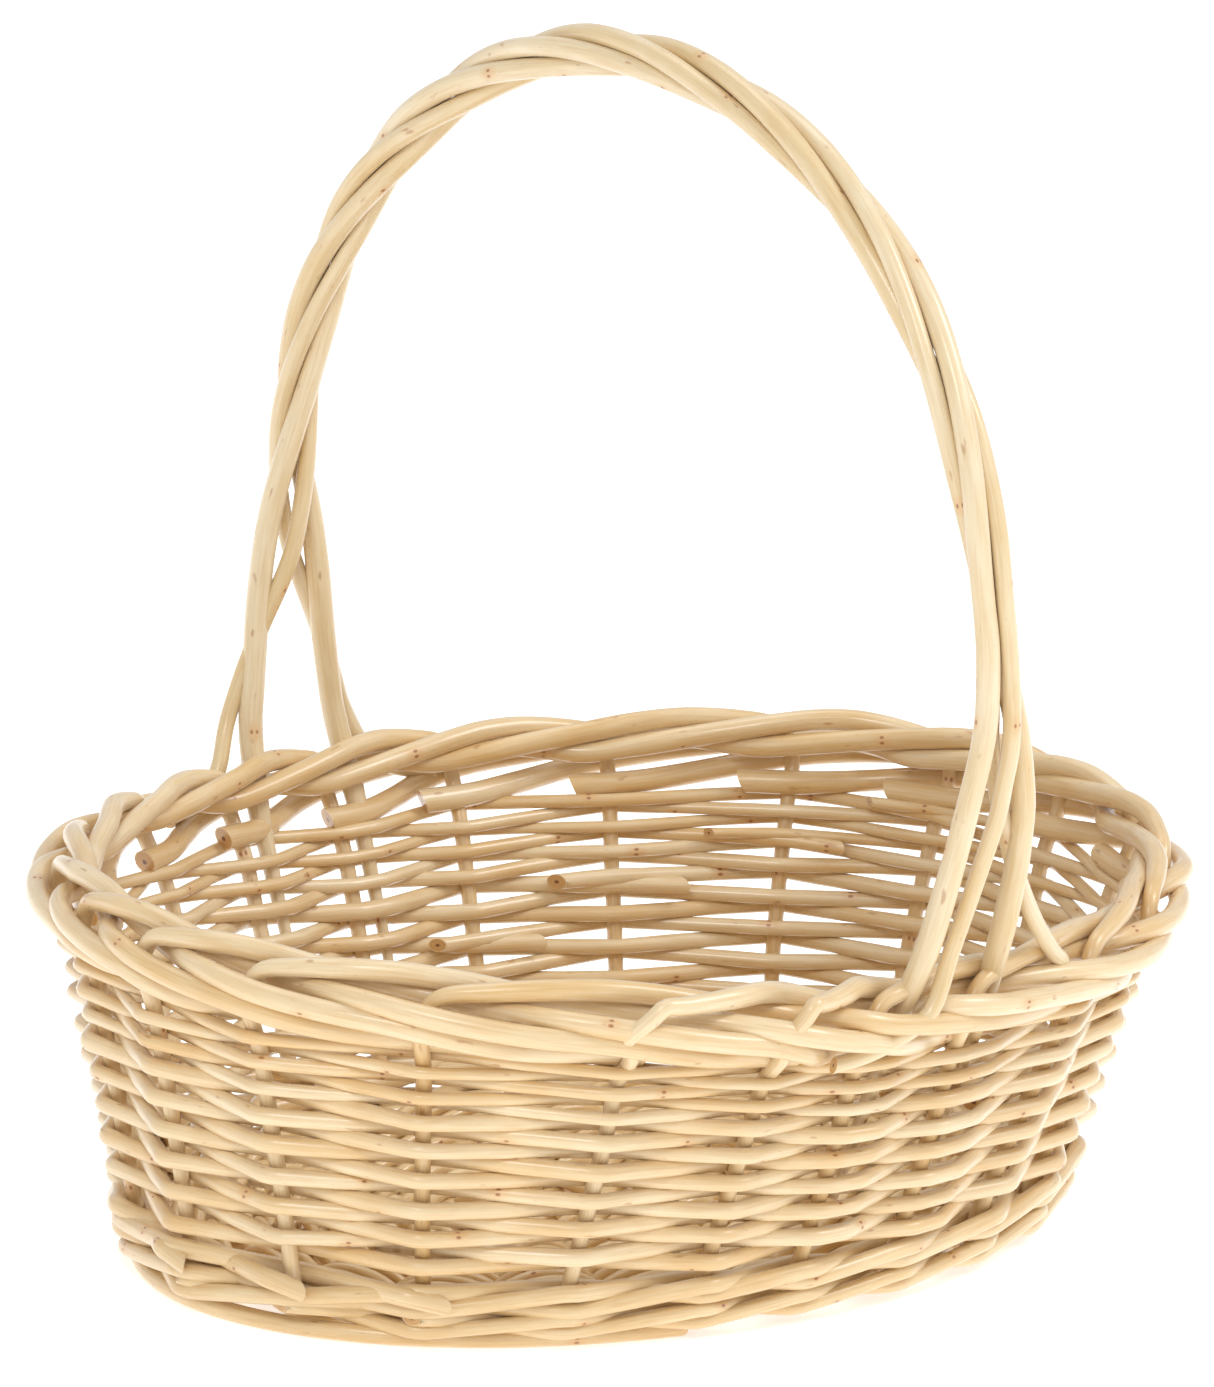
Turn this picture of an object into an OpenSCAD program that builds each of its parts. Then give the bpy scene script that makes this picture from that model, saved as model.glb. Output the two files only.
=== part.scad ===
/* [Plan] */
// Half length of the wall's centre line at the rim
rim_half_length = 194; // [170:1:220]
// Half width of the wall's centre line at the rim
rim_half_width = 155; // [140:1:180]
// Half length of the wall's centre line at the base
base_half_length = 168; // [150:1:190]
// Half width of the wall's centre line at the base
base_half_width = 109; // [100:1:125]
// Height of the rim's centre line over the ground
rim_height = 120; // [110:1:130]
// Extra rim height at both ends, taken off the sides
end_lift = 3.5; // [0:0.5:6]
// Extra rim height at the -X end, taken off the +X end
end_tilt = 2; // [0:0.5:6]

/* [Rods] */
// Number of upright stakes, even so that the siding closes on itself
stake_count = 22; // [22:22]
// Stake diameter at the base
stake_d = 5.4; // [4:0.1:6]
// Stake diameter in the border, where the thick end of the rod lies
border_d = 7.2; // [6:0.1:8]
// Siding rod diameter
weaver_d = 4.6; // [3.5:0.1:5]
// Wale rod diameter
wale_d = 5.4; // [4:0.1:6]
// Number of siding rows
weaver_rows = 16; // [8:1:16]
// Height of the lowest siding row
weaver_z = 32.5; // [31:0.5:36]
// Height from one siding row to the next
weaver_pitch = 4.5; // [4.4:0.1:5]

/* [Base] */
// Height of the middle of the base sticks
base_z = 8.2; // [8:0.1:10]
// Diameter of the three long base sticks
long_stick_d = 7; // [6:0.1:7.2]
// Diameter of the slit middle of a cross stick
cross_stick_d = 11; // [10:0.1:12]
// Number of cross sticks
cross_stick_count = 8; // [8:8]
// Distance between cross sticks in the middle of the base
cross_stick_gap = 19; // [17:1:22]
// Diameter of the rods woven through the base sticks
base_rod_d = 4; // [3:0.1:4]
// Rings of weaving in the base
base_rings = 9; // [6:3:9]

/* [Handle] */
// Height of the middle of the handle's top
hoop_top = 385; // [330:1:420]
// Height at which the handle's round arch starts
hoop_spring = 222; // [200:1:240]
// Half width of the round arch
hoop_half_width = 165; // [150:1:180]
// Diameter of a handle rod where it enters the wall
handle_butt_d = 8.4; // [7:0.1:9]
// Diameter of a handle rod where its tip hooks round the border
handle_tip_d = 6; // [5:0.1:7]
// Radius at which the four rods twist round each other
rope_radius = 5.5; // [5.2:0.1:7]
// Turns that the rods make from foot to foot
rope_turns = 3.15; // [2:0.05:4]
// Degrees by which the twist is ahead of an even one at the middle of the handle
rope_hurry = 114; // [0:1:150]
// Angle of the first rod at the +Y foot
rope_start = 91; // [-180:1:180]

/* [Hidden] */
bays = stake_count;
sides = 6;
clear = 0.4;
base_shift = 5.4;          // degrees that spread the stakes evenly along the base
rim_shift = 3.0;           // the same for the rim
amp = (stake_d + weaver_d) / 2 + 0.2;
wale_amp = (stake_d + wale_d) / 2 + 0.2;
wale_z = base_z + (stake_d + wale_d) / 2 + clear;
wale_rise = 2 * wale_d;
stake_flat = 0.12;         // part of a bay that a weaver runs straight past a stake
leg_flat = 0.27;           // the same where a handle leg stands beside the stake
leg_side = 7;              // distance of a handle leg from its stake
root_side = 0.13;          // part of a bay from a base stick to the stake pushed in beside it
foot_d = 6.2;
foot_z = foot_d / 2 * sin(60);
spokes = 2 * cross_stick_count + 6;
spoke_edge = 9;            // base sticks end this far inside the wall's line
slath_half = (cross_stick_count - 1) / 2 * cross_stick_gap;
long_gap = 9;

// A border strand's way along the rim: bays travelled, offset outwards, height over the rim line
border_way = [
    [0, 0, -8], [0.03, 0, -1], [0.12, -0.3, 3], [0.3, -1, 5], [0.6, -2.5, 6], [0.85, -5.5, 5.3],
    [1.1, -7.6, 3.8], [1.5, -8, 0], [1.9, -8.2, -2.8], [2.2, -6.5, -4.6], [2.5, 0, -3.8],
    [2.8, 5.4, -4.6], [3.1, 7, -7], [3.5, 8, -9.5], [3.9, 8, -12.3], [4.2, 6.5, -15.5],
    [4.5, 0, -18], [4.8, -7, -17.8], [5.2, -8.4, -17]
];

// ---- shared shapes ----

function mix(a, b, f) = a + (b - a) * f;
function unit(v) = v / norm(v);
function smooth(f) = let (c = min(1, max(0, f))) c * c * (3 - 2 * c);

// Angle round the oval after a number of bays from the middle of the handle's +Y foot
function bay_angle(bay, k) =
    let (even = 90 + (bay + 0.5) * 360 / bays)
    even + mix(base_shift, rim_shift, k) * sin(2 * even);

function rim_z(t) = rim_height + end_lift * cos(2 * t) - end_tilt * cos(t);

// Point of the wall's centre surface at part k of its height, moved outwards by off
function wall_xy(t, k, off) = [
    (mix(base_half_length, rim_half_length, k) + off) * cos(t),
    (mix(base_half_width, rim_half_width, k) + off) * sin(t)
];
function wall(bay, z, off) =
    let (k = z / rim_height, t = bay_angle(bay, k), p = wall_xy(t, k, off))
    [p.x, p.y, k * rim_z(t)];
function outward(bay, k = 1) =
    let (t = bay_angle(bay, k))
    unit([cos(t) / mix(base_half_length, rim_half_length, k),
          sin(t) / mix(base_half_width, rim_half_width, k), 0]);

// A rod along points p, with radius r and a direction v that its section turns with, at each point
module rod(p, r, v, closed = false) {
    n = len(p);
    last = n - 1;
    section = [for (i = [0:last])
        let (
            a = p[closed ? (i + last) % n : max(i - 1, 0)],
            b = p[closed ? (i + 1) % n : min(i + 1, last)],
            t = unit(b - a),
            u = unit(cross(v[i], t)),
            w = cross(t, u)
        )
        each [for (j = [0:sides - 1]) p[i] + r[i] * (cos(360 * j / sides) * u + sin(360 * j / sides) * w)]
    ];
    skin = [for (i = [0:closed ? last : last - 1])
        let (m = (i + 1) % n)
        each [for (j = [0:sides - 1])
            let (j2 = (j + 1) % sides)
            each [[i * sides + j, m * sides + j2, i * sides + j2],
                  [i * sides + j, m * sides + j, m * sides + j2]]
        ]
    ];
    ends = closed ? [] : [
        [for (j = [0:sides - 1]) j],
        [for (j = [0:sides - 1]) last * sides + sides - 1 - j]
    ];
    polyhedron(section, concat(ends, skin), convexity = 10);
}
function all(n, value) = [for (i = [0:n - 1]) value];

// ---- stakes, which turn down into the border ----

function way_point(bay, w) =
    wall(bay + w[0], rim_height, w[1]) + [0, 0, w[2]];

module stake(i) {
    wall_heights = [18, 55, 95];
    p = concat(
        [wall(i + root_side, base_z, -26), wall(i + root_side, base_z, -7),
         wall(i + root_side / 2, base_z + 0.6, -3), wall(i, base_z + 3.6, -0.6)],
        [for (z = wall_heights) wall(i, z, 0)],
        [for (w = border_way) way_point(i, w)]
    );
    v = concat(
        [[0, 0, 1], [0, 0, 1], [0, 0, 1], unit([0, 0, 1] - outward(i, 0))],
        [for (z = wall_heights) -outward(i, z / rim_height)],
        [for (w = border_way) -outward(i + w[0])]
    );
    n = len(p);
    r = [for (j = [0:n - 1]) mix(stake_d, border_d, smooth((j - 5) / 5)) / 2];
    color("burlywood") rod(p, r, v);
}

// ---- siding: level rows, each in front of one stake and behind the next ----

function is_leg_after(i) = i == bays / 2 - 1 || i == bays / 2;
function is_leg_before(i) = i == 0 || i == bays - 1;
function flat_before(i) = is_leg_before(i % bays) ? leg_flat : stake_flat;
function flat_after(i) = is_leg_after(i % bays) ? leg_flat : stake_flat;

module weaver(row) {
    first = (row * 7) % bays;
    start = first + (first + row) % 2;       // a rod starts and ends on the inside
    z = weaver_z + row * weaver_pitch;
    steps = [for (m = [start:start + bays])
        let (side = (m + row) % 2 == 0 ? -amp : amp)
        each [[m - (m == start ? 0.05 : flat_before(m)), side],
              [m + (m == start + bays ? -0.2 : flat_after(m)), side]]
    ];
    path = [for (j = [0:len(steps) - 2]) steps[j]];
    p = [for (s = path) wall(s[0], z, s[1])];
    v = all(len(p), [0, 0, 1]);
    color("wheat") rod(p, all(len(p), weaver_d / 2), v);
}

// ---- wale: three rods, each outside two stakes and inside the third ----

module wale_rod(j) {
    drop = [0, wale_d / 2, -wale_d / 2];
    rounds = 2;
    steps = [for (m = [j:j + rounds * bays - 1])
        let (
            phase = (m + 2 * j) % 3,
            side = phase == 0 ? -wale_amp : wale_amp,
            z = wale_z + wale_rise * (m - j) / bays + drop[phase]
        )
        each [[m - stake_flat, z, side], [m + stake_flat, z, side]]
    ];
    p = [for (s = steps) wall(s[0], s[1], s[2])];
    color("burlywood") rod(p, all(len(p), wale_d / 2), all(len(p), [0, 0, 1]));
}

module foot_rod() {
    p = [for (m = [0:0.5:bays - 0.5]) let (q = wall(m, 0, 0)) [q.x, q.y, foot_z]];
    color("tan") rod(p, all(len(p), foot_d / 2), all(len(p), [0, 0, 1]), closed = true);
}

// ---- base: slit cross sticks with long sticks through them, opened out like spokes ----

// Spokes are counted anticlockwise from the middle long stick's +X end
function spoke_end(j) =
    let (even = 360 * j / spokes, t = even + base_shift * sin(2 * even), p = wall_xy(t, 0, -spoke_edge))
    [p.x, p.y, base_z];
function spoke_root(j) =
    let (
        half = spokes / 2,
        m = (j + half) % spokes - half,           // -half .. half - 1, 0 at the +X end
        near_end = abs(m) <= 1 || abs(m) >= half - 1,
        right = abs(m) <= 1,
        along = right ? m : (m > 0 ? half - m : -half - m),
        cross_index = cross_stick_count - abs(m) + 1
    )
    near_end
        ? [(right ? 1 : -1) * (slath_half + 9), along * long_gap, base_z]
        : [(cross_index - (cross_stick_count - 1) / 2) * cross_stick_gap, (m > 0 ? 1 : -1) * 17, base_z];

module base_long_stick(j) {
    // j is -1, 0 or 1
    right = (j + spokes) % spokes;
    left = spokes / 2 - j;
    p = [spoke_end(left), spoke_root(left), [0, j * long_gap, base_z], spoke_root(right), spoke_end(right)];
    color("peru") rod(p, all(len(p), long_stick_d / 2), all(len(p), [0, 0, 1]));
}

module base_cross_stick(j) {
    // j counts from 0 at the -X end
    top = cross_stick_count + 1 - j;
    bottom = spokes - top;
    root_a = spoke_root(bottom);
    root_b = spoke_root(top);
    thin = cross_stick_d * 0.36;
    p = [spoke_end(bottom), mix(root_a, spoke_end(bottom), 0.2), root_a,
         root_b, mix(root_b, spoke_end(top), 0.2), spoke_end(top)];
    r = [thin, thin, cross_stick_d / 2, cross_stick_d / 2, thin, thin];
    slit = [2 * cross_stick_d, 2 * long_gap + long_stick_d + 2 * clear, long_stick_d + clear];
    color("peru") difference() {
        rod(p, r, all(len(p), [0, 0, 1]));
        translate([root_a.x, 0, base_z]) cube(slit, center = true);
    }
}

module base_ring(k) {
    f = mix(0.16, 0.95, k / (base_rings - 1));
    lift = (cross_stick_d * 0.72 + base_rod_d) / 2 + 0.2;
    p = [for (j = [0:spokes - 1])
        mix(spoke_root(j), spoke_end(j), f) + [0, 0, (j + k) % 2 == 0 ? lift : -lift]];
    color("tan") rod(p, all(spokes, base_rod_d / 2), all(spokes, [0, 0, 1]), closed = true);
}
module base_weave(part) {
    for (k = [part:3:base_rings - 1]) base_ring(k);
}

// ---- handle: four tapering rods twisted into one hoop, two laid from each side ----

leg_part = 0.15;           // part of the hoop's length that each straight leg takes
function hoop(q) =
    let (f = (q < 0.5 ? q : 1 - q) / leg_part, side = q < 0.5 ? 1 : -1)
    f < 1
        ? [0, side * mix(rim_half_width, hoop_half_width, sin(90 * f)), mix(rim_height, hoop_spring, f)]
        : let (a = 180 * (q - leg_part) / (1 - 2 * leg_part))
          [0, hoop_half_width * cos(a), hoop_spring + (hoop_top - hoop_spring) * sin(a)];
function hoop_normal(q) =
    let (t = unit(hoop(min(1, q + 0.002)) - hoop(max(0, q - 0.002))))
    [0, -t.z, t.y] * -1;

// Each rod: angle in the rope, place across the handle at the +Y foot and at the -Y foot,
// whether its thick end is at the +Y foot, and the way its tip turns along the border
handle_rods = [
    [0, -22, 48, true, 1],
    [180, 19, -6, true, -1],
    [270, -33, 22, false, -1],
    [90, 29, -17, false, 1]
];
tip_way = [[0, 5, 0], [5, 8, -7], [15, 9, -11], [27, 8, -13]];

function rope_offset(q, turn) =
    let (a = rope_start + turn - 360 * rope_turns * q - rope_hurry * sin(180 * q))
    rope_radius * [sin(a), cos(a)];

function handle_point(q, h) =
    let (
        thick_end = (q < 0.5) == h[3],
        gather = q > 0.5 ? 0.28 : (thick_end ? 0.2 : 0.13),
        blend = smooth((min(q, 1 - q) + 0.02) / gather),
        foot = [q < 0.5 ? h[1] : h[2], thick_end ? 1 : 6],
        off = mix(foot, rope_offset(q, h[0]), blend)
    )
    hoop(q) + [off.x, 0, 0] + off.y * hoop_normal(q);

// A point on the wall's line beside the handle; side is 1 at the +Y foot
function beside(x, z, n, side) =
    let (
        k = z / rim_height,
        a = mix(base_half_length, rim_half_length, k),
        b = mix(base_half_width, rim_half_width, k)
    )
    [x, side * (b * sqrt(1 - pow(x / a, 2)) + n), z];

module handle_rod(j) {
    h = handle_rods[j];
    leg_heights = [45, 70, 95, 108];
    thick_x = h[3] ? h[1] : h[2];
    thin_x = h[3] ? h[2] : h[1];
    side = h[3] ? 1 : -1;
    along = [for (q = [0.02:0.024:0.981]) handle_point(h[3] ? q : 1 - q, h)];
    p = concat(
        [for (z = leg_heights) beside(thick_x, z, 0, side)],
        along,
        [for (w = tip_way) beside(thin_x + h[4] * w[0], rim_height + w[2], w[1], -side)]
    );
    n = len(p);
    slype = [1.2, 2.2, 2.6, 2.8];
    r = [for (i = [0:n - 1]) i < 4 ? slype[i] : mix(handle_butt_d, handle_tip_d, i / (n - 1)) / 2];
    v = [for (i = [0:n - 1]) i > n - 4 ? [0, side, 0] : [1, 0, 0]];
    color("navajowhite") rod(p, r, v);
}

// ---- nodes ----

for (i = [1:stake_count]) stake(i - 1);
for (i = [1:weaver_rows]) weaver(i - 1);
for (i = [1:3]) wale_rod(i - 1);
foot_rod();
for (i = [1:3]) base_long_stick(i - 2);
for (i = [1:8]) base_cross_stick(i - 1);
for (i = [1:3]) base_weave(i - 1);
for (i = [1:4]) handle_rod(i - 1);
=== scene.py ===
import math
import random

import bpy
from mathutils import Matrix, Vector, noise


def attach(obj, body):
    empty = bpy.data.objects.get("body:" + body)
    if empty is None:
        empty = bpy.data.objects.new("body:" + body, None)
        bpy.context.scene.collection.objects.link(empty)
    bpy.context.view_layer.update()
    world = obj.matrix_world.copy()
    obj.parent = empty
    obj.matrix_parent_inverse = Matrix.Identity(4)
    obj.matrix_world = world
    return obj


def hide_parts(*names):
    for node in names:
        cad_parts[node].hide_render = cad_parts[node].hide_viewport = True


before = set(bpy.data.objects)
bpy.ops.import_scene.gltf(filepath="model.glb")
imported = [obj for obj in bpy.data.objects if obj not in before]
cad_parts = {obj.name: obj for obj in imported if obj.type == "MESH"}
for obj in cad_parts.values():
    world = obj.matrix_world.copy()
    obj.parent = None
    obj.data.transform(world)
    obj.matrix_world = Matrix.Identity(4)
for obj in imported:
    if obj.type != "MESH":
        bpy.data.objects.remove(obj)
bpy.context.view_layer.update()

# ---- the basket's plan, in millimetres ----

MM = 0.001
STAKES = 22
ROWS = 16
RIM_LENGTH, RIM_WIDTH, RIM_HEIGHT = 194.0, 155.0, 120.0
BASE_LENGTH, BASE_WIDTH = 168.0, 109.0
END_LIFT, END_TILT = 3.5, 2.0
BASE_SHIFT, RIM_SHIFT = 5.4, 3.0
STAKE_D, BORDER_D, BUTT_D = 5.2, 7.2, 8.0
WALE_D, FOOT_D = 5.6, 6.2
WEAVER_Z = 29.0
BASE_Z = 8.2
HOOP_TOP, HOOP_SPRING, HOOP_HALF_WIDTH = 385.0, 222.0, 165.0
LEG_PART = 0.15
HANDLE_BUTT_D, HANDLE_TIP_D = 8.2, 5.4
ROPE_RADIUS, ROPE_TURNS, ROPE_HURRY, ROPE_START = 4.9, 3.15, 114.0, 91.0

chance = random.Random(22)


def mix(a, b, f):
    return a + (b - a) * f


def clamp(f):
    return min(1.0, max(0.0, f))


def smooth(f):
    f = clamp(f)
    return f * f * (3 - 2 * f)


def bay_angle(bay, k):
    """Angle round the oval, in radians, after a number of bays from the middle of the handle's +Y foot."""
    even = math.radians(90 + (bay + 0.5) * 360 / STAKES)
    return even + math.radians(mix(BASE_SHIFT, RIM_SHIFT, k)) * math.sin(2 * even)


def rim_z(t):
    return RIM_HEIGHT + END_LIFT * math.cos(2 * t) - END_TILT * math.cos(t)


# How far each stake strays along the wall, in bays: at the rim, and at the base
STRAYS = [
    (0.15, 0.3), (0.1, 0.1), (0, 0), (0, 0), (0, -0.25), (-0.15, -0.05), (-0.25, 0), (-0.08, -0.03),
    (0.24, 0), (0.25, 0.08), (-0.12, 0), (-0.28, 0.08), (-0.04, 0.12), (0, 0.05), (0, 0), (-0.05, 0),
    (-0.1, -0.06), (-0.14, 0), (-0.05, -0.05), (0.17, 0.13), (0.28, 0.27), (0.26, 0.3),
]


def stray(bay, k):
    low = math.floor(bay)
    f = bay - low
    top = mix(STRAYS[low % STAKES][0], STRAYS[(low + 1) % STAKES][0], f)
    base = mix(STRAYS[low % STAKES][1], STRAYS[(low + 1) % STAKES][1], f)
    return mix(base, top, clamp(k))


def wall(bay, z, off=0.0):
    """A point of the wall's middle surface at nominal height z, moved outwards by off."""
    k = z / RIM_HEIGHT
    t = bay_angle(bay + stray(bay, k), k)
    return Vector((
        (mix(BASE_LENGTH, RIM_LENGTH, k) + off) * math.cos(t),
        (mix(BASE_WIDTH, RIM_WIDTH, k) + off) * math.sin(t),
        k * rim_z(t),
    ))


def between(keys, u):
    """The value at u between keys (u, value)."""
    if u <= keys[0][0]:
        return keys[0][1]
    for (u0, v0), (u1, v1) in zip(keys, keys[1:]):
        if u <= u1:
            return mix(v0, v1, (u - u0) / (u1 - u0))
    return keys[-1][1]


def through(points, per=8):
    """A smooth way through points: a centripetal Catmull-Rom spline."""
    ext = [2 * points[0] - points[1]] + list(points) + [2 * points[-1] - points[-2]]
    way = []
    for a, b, c, d in zip(ext, ext[1:], ext[2:], ext[3:]):
        ta = 0.0
        tb = ta + max(1e-6, (b - a).length) ** 0.5
        tc = tb + max(1e-6, (c - b).length) ** 0.5
        td = tc + max(1e-6, (d - c).length) ** 0.5
        for i in range(per):
            t = mix(tb, tc, i / per)
            ab = a.lerp(b, (t - ta) / (tb - ta))
            bc = b.lerp(c, (t - tb) / (tc - tb))
            cd = c.lerp(d, (t - tc) / (td - tc))
            way.append(
                ab.lerp(bc, (t - ta) / (tc - ta)).lerp(
                    bc.lerp(cd, (t - tb) / (td - tb)), (t - tb) / (tc - tb),
                )
            )
    return way + [points[-1].copy()]


# ---- nodes ----


def add(tree, kind, into=None, **settings):
    """Adds a node. settings are its properties; into gives its inputs, by name or number."""
    node = tree.nodes.new(kind)
    for key, value in settings.items():
        setattr(node, key, value)
    for key, value in (into or {}).items():
        if isinstance(value, bpy.types.Node):
            value = value.outputs[0]
        if isinstance(value, bpy.types.NodeSocket):
            tree.links.new(value, node.inputs[key])
        else:
            node.inputs[key].default_value = value
    return node


def srgb(text):
    """A hex colour as linear RGBA."""
    parts = [int(text[i:i + 2], 16) / 255 for i in (0, 2, 4)]
    return [c / 12.92 if c <= 0.04045 else ((c + 0.055) / 1.055) ** 2.4 for c in parts] + [1.0]


def rod_tree():
    """Sweeps a round rod along each curve, with its knuckly girth, its slanting cut ends and the attributes
    that its finish reads."""
    tree = bpy.data.node_groups.new("willow_rod", "GeometryNodeTree")
    face = tree.interface
    face.new_socket("Geometry", in_out="OUTPUT", socket_type="NodeSocketGeometry")
    for name, kind in (
        ("Geometry", "Geometry"), ("Sides", "Int"), ("Ring Spacing", "Float"), ("Knuckles", "Float"),
        ("Wander", "Float"), ("Slant", "Float"), ("Seed", "Int"), ("Material", "Material"),
    ):
        face.new_socket(name, in_out="INPUT", socket_type="NodeSocket" + kind)
    g = add(tree, "NodeGroupInput")
    ways = add(
        tree, "GeometryNodeResampleCurve",
        {"Curve": g.outputs["Geometry"], "Length": g.outputs["Ring Spacing"]}, mode="LENGTH",
    )
    spline = add(tree, "GeometryNodeSplineParameter")
    lot = add(
        tree, "FunctionNodeRandomValue",
        {"ID": add(tree, "GeometryNodeInputIndex"), "Seed": g.outputs["Seed"], 2: 0.0, 3: 1.0},
        data_type="FLOAT",
    )
    kept = add(
        tree, "GeometryNodeStoreNamedAttribute",
        {"Geometry": ways, "Name": "tint", "Value": lot.outputs[1]}, data_type="FLOAT", domain="CURVE",
    )
    tint = add(tree, "GeometryNodeInputNamedAttribute", {"Name": "tint"}, data_type="FLOAT")
    along = add(
        tree, "ShaderNodeMath", {0: tint, 1: 40.0, 2: spline.outputs["Length"]}, operation="MULTIPLY_ADD",
    )
    # girth: slow swelling and thinning of about 5 cm, as where a side bud sat
    girth_noise = add(
        tree, "ShaderNodeTexNoise", {"W": along, "Scale": 22.0, "Detail": 1.5}, noise_dimensions="1D",
    )
    uneven = add(
        tree, "ShaderNodeMapRange",
        {
            "Value": girth_noise.outputs["Fac"], "From Min": 0.2, "From Max": 0.8, "To Min": -1.0,
            "To Max": 1.0,
        },
    )
    swell = add(
        tree, "ShaderNodeMath", {0: uneven, 1: g.outputs["Knuckles"], 2: 1.0}, operation="MULTIPLY_ADD",
    )
    radius = add(
        tree, "ShaderNodeMath", {0: add(tree, "GeometryNodeInputRadius"), 1: swell}, operation="MULTIPLY",
    )
    kept = add(
        tree, "GeometryNodeStoreNamedAttribute", {"Geometry": kept, "Name": "girth", "Value": radius},
        data_type="FLOAT", domain="POINT",
    )
    kept = add(tree, "GeometryNodeStoreNamedAttribute", {"Geometry": kept, "Name": "along", "Value": along},
               data_type="FLOAT", domain="POINT")
    kept = add(
        tree, "GeometryNodeStoreNamedAttribute",
        {"Geometry": kept, "Name": "part", "Value": spline.outputs["Factor"]}, data_type="FLOAT",
        domain="POINT",
    )
    kept = add(
        tree, "GeometryNodeStoreNamedAttribute",
        {"Geometry": kept, "Name": "way", "Value": add(tree, "GeometryNodeInputTangent")},
        data_type="FLOAT_VECTOR", domain="POINT",
    )
    # each rod strays a little from its way, by itself
    wander_at = add(tree, "ShaderNodeCombineXYZ", {0: along, 1: tint, 2: 0.0})
    wander_noise = add(
        tree, "ShaderNodeTexNoise", {"Vector": wander_at, "Scale": 16.0, "Detail": 1.0},
        noise_dimensions="3D",
    )
    centred = add(
        tree, "ShaderNodeVectorMath", {0: wander_noise.outputs["Color"], 1: (-0.5, -0.5, -0.5)},
        operation="ADD",
    )
    wander = add(
        tree, "ShaderNodeVectorMath", {0: centred, "Scale": g.outputs["Wander"]}, operation="SCALE",
    )
    kept = add(tree, "GeometryNodeSetPosition", {"Geometry": kept, "Offset": wander})
    # round section, whose own coordinates stay with the mesh
    ring = add(
        tree, "GeometryNodeCurvePrimitiveCircle", {"Resolution": g.outputs["Sides"], "Radius": 1.0},
        mode="RADIUS",
    )
    ring = add(tree, "GeometryNodeStoreNamedAttribute",
               {"Geometry": ring, "Name": "section", "Value": add(tree, "GeometryNodeInputPosition")},
               data_type="FLOAT_VECTOR", domain="POINT")
    scale = add(tree, "GeometryNodeInputNamedAttribute", {"Name": "girth"}, data_type="FLOAT")
    mesh = add(
        tree, "GeometryNodeCurveToMesh",
        {"Curve": kept, "Profile Curve": ring, "Scale": scale, "Fill Caps": True},
    )
    # cut ends slant across the rod
    part = add(tree, "GeometryNodeInputNamedAttribute", {"Name": "part"}, data_type="FLOAT")
    section = add(tree, "GeometryNodeInputNamedAttribute", {"Name": "section"}, data_type="FLOAT_VECTOR")
    way = add(tree, "GeometryNodeInputNamedAttribute", {"Name": "way"}, data_type="FLOAT_VECTOR")
    section_xyz = add(tree, "ShaderNodeSeparateXYZ", {0: section})
    at_start = add(tree, "ShaderNodeMath", {0: part, 1: 0.0001}, operation="LESS_THAN")
    at_end = add(tree, "ShaderNodeMath", {0: part, 1: 0.9999}, operation="GREATER_THAN")
    which_end = add(tree, "ShaderNodeMath", {0: at_start, 1: at_end}, operation="ADD")
    lean = add(
        tree, "ShaderNodeMath", {0: section_xyz.outputs[0], 1: g.outputs["Slant"]}, operation="MULTIPLY",
    )
    lean = add(tree, "ShaderNodeMath", {0: lean, 1: scale}, operation="MULTIPLY")
    lean = add(tree, "ShaderNodeMath", {0: lean, 1: which_end}, operation="MULTIPLY")
    shift = add(tree, "ShaderNodeVectorMath", {0: way, "Scale": lean.outputs[0]}, operation="SCALE")
    mesh = add(tree, "GeometryNodeSetPosition", {"Geometry": mesh, "Offset": shift})
    # the finish reads the straightened rod: metres along it, and metres across its section
    across = add(tree, "ShaderNodeVectorMath", {0: section, "Scale": scale.outputs[0]}, operation="SCALE")
    across_xyz = add(tree, "ShaderNodeSeparateXYZ", {0: across})
    kept_along = add(tree, "GeometryNodeInputNamedAttribute", {"Name": "along"}, data_type="FLOAT")
    rod = add(
        tree, "ShaderNodeCombineXYZ", {0: kept_along, 1: across_xyz.outputs[0], 2: across_xyz.outputs[1]},
    )
    mesh = add(tree, "GeometryNodeStoreNamedAttribute", {"Geometry": mesh, "Name": "rod", "Value": rod},
               data_type="FLOAT_VECTOR", domain="POINT")
    corners = add(tree, "GeometryNodeInputMeshFaceNeighbors")
    long_side = add(
        tree, "FunctionNodeCompare", {2: corners.outputs["Vertex Count"], 3: 4}, data_type="INT",
        operation="LESS_EQUAL",
    )
    mesh = add(tree, "GeometryNodeSetShadeSmooth", {"Geometry": mesh, "Shade Smooth": long_side})
    for name in ("section", "along", "part", "way"):
        mesh = add(tree, "GeometryNodeRemoveAttribute", {"Geometry": mesh, "Name": name})
    mesh = add(tree, "GeometryNodeRealizeInstances", {"Geometry": mesh})
    mesh = add(tree, "GeometryNodeSetMaterial", {"Geometry": mesh, "Material": g.outputs["Material"]})
    add(tree, "NodeGroupOutput", {0: mesh})
    return tree


ROD_TREE = rod_tree()

DRIFT_RATE, DRIFT_SIDE, DRIFT_UP = 0.011, 1.6, 2.2


def settle(p):
    """The whole basket is a little out of true, and neighbouring rods lean together."""
    drift = noise.noise_vector(p * DRIFT_RATE + Vector((3.1, 7.7, 1.3)))
    hold = smooth(p.z / 60.0) * (1 - 0.5 * smooth((p.z - 150.0) / 100.0))
    return p + Vector((drift.x * DRIFT_SIDE, drift.y * DRIFT_SIDE, drift.z * DRIFT_UP)) * hold


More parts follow.
